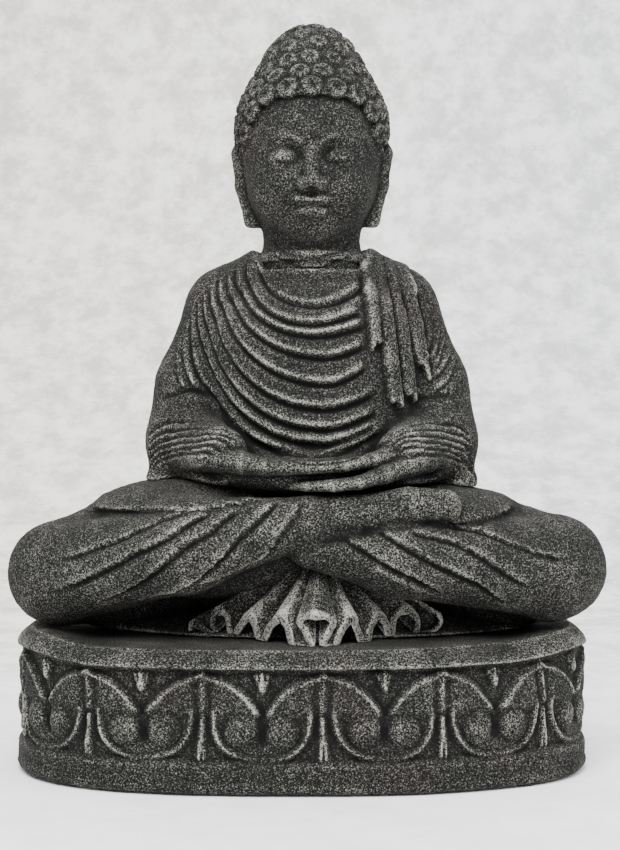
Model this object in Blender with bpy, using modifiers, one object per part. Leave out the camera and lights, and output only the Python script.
"""A seated Buddha statue in painted cast stone, put together from four castings.

The lotus pedestal, the crossed legs, the torso with its arms and the head are
separate castings. Steel dowels and thin mortar beds join them, and four felt
pads in the pedestal's foot carry the statue.

Frame: +Z up, the statue looks along -Y, and the origin is the centre of the
statue's footprint on the surface that it stands on. All sizes are in metres.
"""

import math

import bmesh
import bpy
from mathutils import Matrix, Vector

# ---- Driving dimensions ------------------------------------------------------

GAP = 0.0003  # clearance between neighbouring pieces

# Pedestal: plan is a superellipse, heights are above the standing surface
PEDESTAL_HALF_WIDTH = 0.1510
PEDESTAL_HALF_DEPTH = 0.0985
PEDESTAL_X = -0.0035  # the figure sits slightly to its own left of the pedestal
PLAN_POWER = 2.7
PETALS = 14
POINTS_PER_PETAL = 8
FIRST_PETAL = 0.0107  # along the plan from the front centre to the first petal tip
FOOT_Z = 0.0010  # underside of the pedestal's foot ring
WAIST_Z = 0.0405  # groove between the two rows of petals
DECK_Z = 0.0700  # flat top that the figure sits on
EASE_AT = (0.1010, -0.0850)  # the front left corner, which leans back towards the deck
EASE_REACH = 0.0420
EASE_FOOT = 0.0030
EASE_PETALS = 0.0050
EASE_RIM = 0.0060
WALL = 0.0200  # thickness of the foot ring
CAVITY_TOP_Z = 0.0480

# Joints between the castings. Each casting has a shallow pocket under it for
# its mortar bed, and the neck is a plug that stands in a socket in the collar.
BED = 0.0014  # thickness of each mortar bed
SEAM = BED + 2 * GAP
LEGS_BOTTOM_Z = DECK_Z + GAP
LEGS_TOP_Z = 0.1460
TORSO_BOTTOM_Z = LEGS_TOP_Z + GAP
SOCKET_FLOOR_Z = 0.2440
PLUG_R = 0.0285
PLUG_TOP_Z = 0.2600
NECK_R = 0.0265
HEAD_X = 0.0016
TORSO_X = 0.0016
NECK_Y = 0.0020

# Dowels: radius, and how far each end runs into its casting
NECK_DOWEL_R = 0.0050
NECK_DOWEL_END = 0.0300
NECK_DOWEL_UP = 0.0450
BODY_DOWEL_R = 0.0040
WAIST_DOWEL_END = 0.0250
SEAT_DOWEL_DOWN = 0.0140
SEAT_DOWEL_UP = 0.0250
WAIST_DOWEL_X = 0.0350
SEAT_DOWEL_X = 0.0600
DOWEL_Y = 0.0200

# Mortar beds: centre x, centre y, half width, half depth
SEAT_BED = (0.0, 0.014, 0.098, 0.048)
WAIST_BED = (0.0, 0.014, 0.060, 0.042)
NECK_BED = (HEAD_X, NECK_Y, 0.024, 0.024)

# Felt pads, set in shallow recesses of the foot ring
PAD_R = 0.0060
PAD_TOP_Z = 0.0027
PAD_FROM_EDGE = 0.0113  # pad centre to the pedestal's full outline

# Mesh resolution of the fused castings, and the share of their faces that is kept
FIGURE_VOXEL = 0.0030
HEAD_VOXEL = 0.0020
LEGS_KEPT = 0.06
TORSO_KEPT = 0.08
HEAD_KEPT = 0.08

MARGIN = 0.0100  # how far a cutter runs past the face that it opens
SIDES = (("right", -1), ("left", 1))  # the statue's own right is at -X

STONE = ("painted_stone", (0.075, 0.075, 0.070), 0.90, 0.0)
MORTAR = ("mortar", (0.16, 0.155, 0.145), 0.95, 0.0)
STEEL = ("dowel_steel", (0.45, 0.45, 0.46), 0.35, 1.0)
FELT = ("felt", (0.05, 0.05, 0.05), 1.0, 0.0)


# ---- Scene helpers -----------------------------------------------------------

def clear_scene():
    for old in list(bpy.data.objects):
        bpy.data.objects.remove(old, do_unlink=True)


def new_collection(name):
    collection = bpy.data.collections.new(name)
    bpy.context.scene.collection.children.link(collection)
    return collection


def material(spec):
    name, colour, roughness, metallic = spec
    found = bpy.data.materials.get(name)
    if found:
        return found
    made = bpy.data.materials.new(name)
    made.use_nodes = True
    shader = made.node_tree.nodes["Principled BSDF"]
    shader.inputs["Base Color"].default_value = (*colour, 1.0)
    shader.inputs["Roughness"].default_value = roughness
    shader.inputs["Metallic"].default_value = metallic
    return made


def add_object(name, bm, collection, spec=None):
    mesh = bpy.data.meshes.new(name)
    bm.to_mesh(mesh)
    bm.free()
    obj = bpy.data.objects.new(name, mesh)
    collection.objects.link(obj)
    if spec:
        mesh.materials.append(material(spec))
    return obj


def cut(obj, bm, name):
    """Subtract a shape from an object; the shape is kept as a named cutter."""
    tool = add_object("cutter_" + name, bm, CUTTERS)
    tool.hide_render = True
    tool.display_type = "WIRE"
    boolean = obj.modifiers.new(name, "BOOLEAN")
    boolean.operation = "DIFFERENCE"
    boolean.solver = "EXACT"
    boolean.object = tool


def bore(obj, name, centre, radius, bottom_z, top_z):
    """A dowel hole: the open end runs past its face and the blind end keeps the gap."""
    hole = cylinder(centre, radius + GAP, bottom_z - GAP, top_z + GAP)
    cut(obj, hole, f"bore_{obj.name}_{name}")


# ---- Shapes ------------------------------------------------------------------

def cylinder(centre, radius, bottom_z, top_z, sides=24):
    """An upright cylinder about centre = (x, y)."""
    bm = bmesh.new()
    middle = Matrix.Translation((centre[0], centre[1], (bottom_z + top_z) / 2))
    bmesh.ops.create_cone(
        bm, cap_ends=True, segments=sides, radius1=radius, radius2=radius,
        depth=top_z - bottom_z, matrix=middle,
    )
    return bm


def oval(bed, grow, bottom_z, top_z):
    """An upright oval disc over a mortar bed's plan, grown sideways by a clearance."""
    x, y, half_width, half_depth = bed
    bm = cylinder((0, 0), 1.0, bottom_z, top_z, sides=40)
    plan = Matrix.Diagonal((half_width + grow, half_depth + grow, 1, 1))
    bmesh.ops.transform(bm, matrix=Matrix.Translation((x, y, 0)) @ plan, verts=bm.verts)
    return bm


def slab(bottom_z, top_z, reach=0.5):
    """A wide box between two heights, for trimming a casting to a flat face."""
    bm = bmesh.new()
    place = Matrix.Translation((0, 0, (bottom_z + top_z) / 2))
    size = Matrix.Diagonal((reach, reach, top_z - bottom_z, 1))
    bmesh.ops.create_cube(bm, size=1.0, matrix=place @ size)
    return bm


def add_ellipsoid(bm, centre, radii):
    size = Matrix.Diagonal((*radii, 1))
    bmesh.ops.create_uvsphere(
        bm, u_segments=32, v_segments=20, radius=1.0, matrix=Matrix.Translation(centre) @ size,
    )


def add_limb(bm, start, end, start_radius, end_radius):
    """A tapered round bar with ball ends."""
    start, end = Vector(start), Vector(end)
    along = end - start
    turn = along.to_track_quat("Z", "Y").to_matrix().to_4x4()
    bmesh.ops.create_cone(
        bm, cap_ends=True, segments=28, radius1=start_radius, radius2=end_radius,
        depth=along.length, matrix=Matrix.Translation((start + end) / 2) @ turn,
    )
    add_ellipsoid(bm, start, [start_radius] * 3)
    add_ellipsoid(bm, end, [end_radius] * 3)


def fuse(name, bm, voxel, keep):
    """A casting: overlapping bodies remeshed into one skin and thinned to a share of its faces."""
    obj = add_object(name, bm, STATUE, STONE)
    skin = obj.modifiers.new("skin", "REMESH")
    skin.mode = "VOXEL"
    skin.voxel_size = voxel
    smooth = obj.modifiers.new("smooth", "SMOOTH")
    smooth.factor = 0.5
    smooth.iterations = 4
    thin = obj.modifiers.new("thin", "DECIMATE")
    thin.ratio = keep
    return obj


# ---- Pedestal ----------------------------------------------------------------

def plan_point(angle):
    """A point of the pedestal's plan and its outward normal."""
    cosine, sine = math.cos(angle), math.sin(angle)
    x = math.copysign(abs(cosine) ** (2 / PLAN_POWER), cosine)
    y = math.copysign(abs(sine) ** (2 / PLAN_POWER), sine)
    slope_x = math.copysign(abs(x) ** (PLAN_POWER - 1), x) / PEDESTAL_HALF_WIDTH
    slope_y = math.copysign(abs(y) ** (PLAN_POWER - 1), y) / PEDESTAL_HALF_DEPTH
    point = Vector((PEDESTAL_X + PEDESTAL_HALF_WIDTH * x, PEDESTAL_HALF_DEPTH * y))
    return point, Vector((slope_x, slope_y)).normalized()


def plan_outline(count):
    """Evenly spaced points of the plan with their outward normals, from the first petal tip."""
    fine = 4000
    angles = [2 * math.pi * i / fine - math.pi / 2 for i in range(fine + 1)]
    lengths = [0.0]
    for before, after in zip(angles, angles[1:]):
        lengths.append(lengths[-1] + (plan_point(after)[0] - plan_point(before)[0]).length)
    outline, step = [], 0
    for k in range(count):
        wanted = lengths[-1] * k / count + FIRST_PETAL
        while step < fine - 1 and lengths[step + 1] < wanted:
            step += 1
        outline.append(plan_point(angles[step]))
    return outline


def petal_relief(place, z):
    """How far the petals stand back from the pedestal's profile.

    place runs from 0 to 1 over one petal, with its tip at 0 and 1. The upper row
    points up, and the lower row bulges between the upper row's tips.
    """
    from_tip = min(place, 1 - place) * 2
    if WAIST_Z < z < 0.0600:
        arch_top = 0.0585 - 0.0130 * from_tip ** 1.6
        return 0.0040 if z > arch_top else 0.0
    if 0.0160 < z < WAIST_Z:
        bowl = math.sin(math.pi * place) ** 0.6
        return 0.0040 * (1 - bowl)
    return 0.0


def corner_ease(point, z):
    """How far the front left corner leans back, least at the foot and most at the deck."""
    away = math.hypot(point.x - EASE_AT[0], point.y - EASE_AT[1]) / EASE_REACH
    lean = min(max((z - WAIST_Z) / 0.0200, 0.0), 1.0)
    rim = min(max((z - 0.0620) / (DECK_Z - 0.0620), 0.0), 1.0)
    return (EASE_FOOT + EASE_PETALS * lean + EASE_RIM * rim) * math.exp(-away ** 2)


def make_pedestal():
    # Outer profile, bottom to top: (inset from the full outline, height)
    profile = [
        (0.0030, FOOT_Z), (0.0004, 0.0040), (0.0000, 0.0140), (0.0022, 0.0165),
        (0.0002, 0.0220), (0.0012, 0.0320), (0.0052, WAIST_Z), (0.0030, 0.0450),
        (0.0016, 0.0510), (0.0026, 0.0575), (0.0046, 0.0605), (0.0012, 0.0620),
        (0.0002, 0.0650), (0.0020, 0.0685), (0.0070, DECK_Z),
    ]
    outline = plan_outline(PETALS * POINTS_PER_PETAL)
    bm = bmesh.new()
    rings = [[
        bm.verts.new((*(point - normal * WALL), z)) for point, normal in outline
    ] for z in (CAVITY_TOP_Z, FOOT_Z)]
    for inset, z in profile:
        ring = []
        for k, (point, normal) in enumerate(outline):
            place = (k % POINTS_PER_PETAL) / POINTS_PER_PETAL
            back = inset + petal_relief(place, z) + corner_ease(point, z)
            ring.append(bm.verts.new((*(point - normal * back), z)))
        rings.append(ring)
    for lower, upper in zip(rings, rings[1:]):
        for k in range(len(outline)):
            following = (k + 1) % len(outline)
            bm.faces.new((lower[k], lower[following], upper[following], upper[k]))
    bm.faces.new(list(reversed(rings[0])))
    bm.faces.new(rings[-1])
    bmesh.ops.recalc_face_normals(bm, faces=bm.faces)
    pedestal = add_object("pedestal", bm, STATUE, STONE)
    for word, side in SIDES:
        bore(pedestal, "seat_" + word, (side * SEAT_DOWEL_X, DOWEL_Y), BODY_DOWEL_R,
             DECK_Z - SEAT_DOWEL_DOWN, DECK_Z)
    for name, centre in pad_places():
        cut(pedestal, cylinder(centre, PAD_R + GAP, -MARGIN, PAD_TOP_Z + GAP), "recess_" + name)


def pad_places():
    """Each felt pad's name and centre, near the four corners of the plan."""
    for word, side in SIDES:
        for end_word, end in (("front", -1), ("rear", 1)):
            point, normal = plan_point(math.atan2(end, side))
            yield f"felt_pad_{end_word}_{word}", point - normal * PAD_FROM_EDGE


# ---- Figure ------------------------------------------------------------------

def make_legs():
    """Crossed legs under the robe, with the pleated hem that fans out in front."""
    bm = bmesh.new()
    for side, knee in ((-1, (-0.1316, -0.020, 0.1015)), (1, (0.1297, -0.020, 0.1032))):
        # Thigh from the hip to the knee, then the knee's round end
        add_limb(bm, (side * 0.045, 0.032, 0.1065), (side * 0.106, 0.000, 0.1045), 0.0365, 0.0305)
        add_limb(bm, (side * 0.106, 0.000, 0.1045), knee, 0.0305, 0.0270)
        # Robe that fills the lap between the thigh and the shins
        add_ellipsoid(bm, (side * 0.052, -0.030, 0.1160), (0.0640, 0.0360, 0.0280))
    # The statue's right shin lies on top, with its foot on the other thigh
    add_limb(bm, (-0.122, -0.032, 0.1035), (-0.060, -0.058, 0.1185), 0.0250, 0.0240)
    add_limb(bm, (-0.060, -0.058, 0.1185), (0.000, -0.066, 0.1320), 0.0240, 0.0180)
    add_limb(bm, (0.000, -0.066, 0.1320), (0.062, -0.066, 0.1360), 0.0180, 0.0130)
    add_limb(bm, (0.122, -0.032, 0.1030), (0.055, -0.058, 0.1125), 0.0250, 0.0225)
    add_limb(bm, (0.055, -0.058, 0.1125), (0.005, -0.060, 0.1210), 0.0225, 0.0170)
    add_ellipsoid(bm, (0, 0.022, 0.108), (0.098, 0.058, 0.042))
    add_ellipsoid(bm, (0, 0.012, 0.080), (0.118, 0.060, 0.018))
    # Hem fan: pleats that run from under the ankles down to the deck
    for place in range(-4, 5):
        angle = math.radians(17 * place)
        foot = (0.0025 + 0.052 * math.sin(angle), -0.016 - 0.044 * math.cos(angle), 0.0735)
        add_limb(bm, (0.0025 + 0.005 * place, -0.046, 0.112), foot, 0.0095, 0.0060)
    legs = fuse("crossed_legs", bm, FIGURE_VOXEL, LEGS_KEPT)
    cut(legs, slab(-0.05, LEGS_BOTTOM_Z), "legs_floor")
    cut(legs, slab(LEGS_TOP_Z, 0.30), "legs_ceiling")
    cut(legs, oval(SEAT_BED, GAP, LEGS_BOTTOM_Z - MARGIN, DECK_Z + SEAM), "seat_pocket")
    for word, side in SIDES:
        bore(legs, "seat_" + word, (side * SEAT_DOWEL_X, DOWEL_Y), BODY_DOWEL_R,
             LEGS_BOTTOM_Z, DECK_Z + SEAT_DOWEL_UP)
        bore(legs, "waist_" + word, (side * WAIST_DOWEL_X, DOWEL_Y), BODY_DOWEL_R,
             LEGS_TOP_Z - WAIST_DOWEL_END, LEGS_TOP_Z)


def make_torso():
    """Torso in its robe, with the sleeves on the thighs and the hands in the lap."""
    bm = bmesh.new()
    add_ellipsoid(bm, (TORSO_X, 0.012, 0.158), (0.074, 0.056, 0.060))
    add_ellipsoid(bm, (TORSO_X, 0.006, 0.205), (0.067, 0.051, 0.050))
    add_ellipsoid(bm, (TORSO_X, 0.004, 0.224), (0.066, 0.047, 0.035))
    for _, side in SIDES:
        def at(x, y, z):
            return (TORSO_X + side * x, y, z)
        add_limb(bm, at(0, 0.008, 0.2640), at(0.0440, 0.010, 0.2410), 0.0245, 0.0245)
        add_limb(bm, at(0.0440, 0.010, 0.2410), at(0.0595, 0.008, 0.2000), 0.0245, 0.0247)
        add_limb(bm, at(0.0595, 0.008, 0.2000), at(0.0655, 0.002, 0.1720), 0.0247, 0.0245)
        add_limb(bm, at(0.0650, 0.000, 0.1660), at(0.0440, -0.058, 0.1600), 0.0220, 0.0120)
        add_ellipsoid(bm, at(0.0720, -0.006, 0.1500), (0.0190, 0.0360, 0.0160))
        add_limb(bm, at(0.0440, -0.058, 0.1585), at(-0.0240, -0.0750, 0.1560), 0.0110, 0.0090)
    # The robe fills the lap between the belly and the hands
    add_ellipsoid(bm, (TORSO_X, -0.044, 0.1510), (0.0520, 0.0340, 0.0120))
    # The folded end of the robe that hangs from the left shoulder
    add_limb(bm, (0.0400, -0.0160, 0.2540), (0.0500, -0.0320, 0.2000), 0.0120, 0.0130)
    add_limb(bm, (0.0500, -0.0320, 0.2000), (0.0500, -0.0300, 0.1780), 0.0130, 0.0120)
    torso = fuse("torso", bm, FIGURE_VOXEL, TORSO_KEPT)
    socket = cylinder((HEAD_X, NECK_Y), PLUG_R + GAP, SOCKET_FLOOR_Z, 0.35, sides=64)
    cut(torso, slab(0.0, TORSO_BOTTOM_Z), "torso_floor")
    cut(torso, socket, "neck_socket")
    cut(torso, oval(WAIST_BED, GAP, TORSO_BOTTOM_Z - MARGIN, LEGS_TOP_Z + SEAM), "waist_pocket")
    bore(torso, "neck", (HEAD_X, NECK_Y), NECK_DOWEL_R,
         SOCKET_FLOOR_Z - NECK_DOWEL_END, SOCKET_FLOOR_Z)
    for word, side in SIDES:
        bore(torso, "waist_" + word, (side * WAIST_DOWEL_X, DOWEL_Y), BODY_DOWEL_R,
             TORSO_BOTTOM_Z, LEGS_TOP_Z + WAIST_DOWEL_END)


def make_head():
    """Head and neck, with long ear lobes, the cap of hair and its raised crown."""
    bm = bmesh.new()
    add_ellipsoid(bm, (HEAD_X, 0.004, 0.326), (0.0380, 0.0440, 0.0420))
    add_ellipsoid(bm, (HEAD_X, 0.008, 0.336), (0.0420, 0.0470, 0.0400))
    add_ellipsoid(bm, (HEAD_X, -0.004, 0.305), (0.0320, 0.0350, 0.0310))
    add_ellipsoid(bm, (HEAD_X, 0.008, 0.3715), (0.0285, 0.0300, 0.0285))
    # Nose
    add_limb(bm, (HEAD_X, -0.036, 0.327), (HEAD_X, -0.0425, 0.3125), 0.0042, 0.0050)
    for _, side in SIDES:
        add_ellipsoid(bm, (HEAD_X + side * 0.0045, -0.0390, 0.3110), (0.0042, 0.0050, 0.0036))
    # Neck, widening into the plug
    add_limb(bm, (HEAD_X, NECK_Y, 0.268), (HEAD_X, 0.004, 0.300), NECK_R, 0.0255)
    add_limb(bm, (HEAD_X, NECK_Y, 0.230), (HEAD_X, NECK_Y, PLUG_TOP_Z), PLUG_R, PLUG_R - 0.001)
    for _, side in SIDES:
        ear = Vector((HEAD_X + side * 0.0395, 0.0080, 0.3200))
        lobe = Vector((HEAD_X + side * 0.0330, 0.0060, 0.2900))
        add_ellipsoid(bm, ear, (0.0045, 0.0100, 0.0140))
        add_limb(bm, ear, lobe, 0.0052, 0.0055)
    head = fuse("head", bm, HEAD_VOXEL, HEAD_KEPT)
    cut(head, slab(0.10, SOCKET_FLOOR_Z + SEAM), "head_floor")
    bore(head, "neck", (HEAD_X, NECK_Y), NECK_DOWEL_R,
         SOCKET_FLOOR_Z + SEAM, SOCKET_FLOOR_Z + NECK_DOWEL_UP)


# ---- Joining pieces ----------------------------------------------------------

def make_bed(name, bed, lower_face_z, dowel_radius, dowel_places):
    """A thin oval mortar bed above a casting's flat face, with a hole for each dowel."""
    bottom_z = lower_face_z + GAP
    obj = add_object(name, oval(bed, 0.0, bottom_z, bottom_z + BED), STATUE, MORTAR)
    for number, place in enumerate(dowel_places):
        bore(obj, f"{name}_{number}", place, dowel_radius, bottom_z, bottom_z + BED)


def make_beds():
    seat = [(side * SEAT_DOWEL_X, DOWEL_Y) for _, side in SIDES]
    waist = [(side * WAIST_DOWEL_X, DOWEL_Y) for _, side in SIDES]
    make_bed("seat_mortar_bed", SEAT_BED, DECK_Z, BODY_DOWEL_R, seat)
    make_bed("waist_mortar_bed", WAIST_BED, LEGS_TOP_Z, BODY_DOWEL_R, waist)
    make_bed("neck_mortar_bed", NECK_BED, SOCKET_FLOOR_Z, NECK_DOWEL_R, [(HEAD_X, NECK_Y)])


def make_dowel(name, centre, radius, bottom_z, top_z):
    dowel = add_object(name, cylinder(centre, radius, bottom_z, top_z), STATUE, STEEL)
    edge = dowel.modifiers.new("edge", "BEVEL")
    edge.width = 0.0006
    edge.segments = 1


def make_dowels():
    make_dowel("neck_dowel", (HEAD_X, NECK_Y), NECK_DOWEL_R,
               SOCKET_FLOOR_Z - NECK_DOWEL_END, SOCKET_FLOOR_Z + NECK_DOWEL_UP)
    for word, side in SIDES:
        make_dowel(f"waist_dowel_{word}", (side * WAIST_DOWEL_X, DOWEL_Y), BODY_DOWEL_R,
                   LEGS_TOP_Z - WAIST_DOWEL_END, LEGS_TOP_Z + WAIST_DOWEL_END)
        make_dowel(f"seat_dowel_{word}", (side * SEAT_DOWEL_X, DOWEL_Y), BODY_DOWEL_R,
                   DECK_Z - SEAT_DOWEL_DOWN, DECK_Z + SEAT_DOWEL_UP)


def make_pads():
    for name, centre in pad_places():
        add_object(name, cylinder(centre, PAD_R, 0.0, PAD_TOP_Z), STATUE, FELT)


clear_scene()
STATUE = new_collection("buddha_statue")
CUTTERS = new_collection("cutters")
make_pedestal()
make_legs()
make_torso()
make_head()
make_beds()
make_dowels()
make_pads()
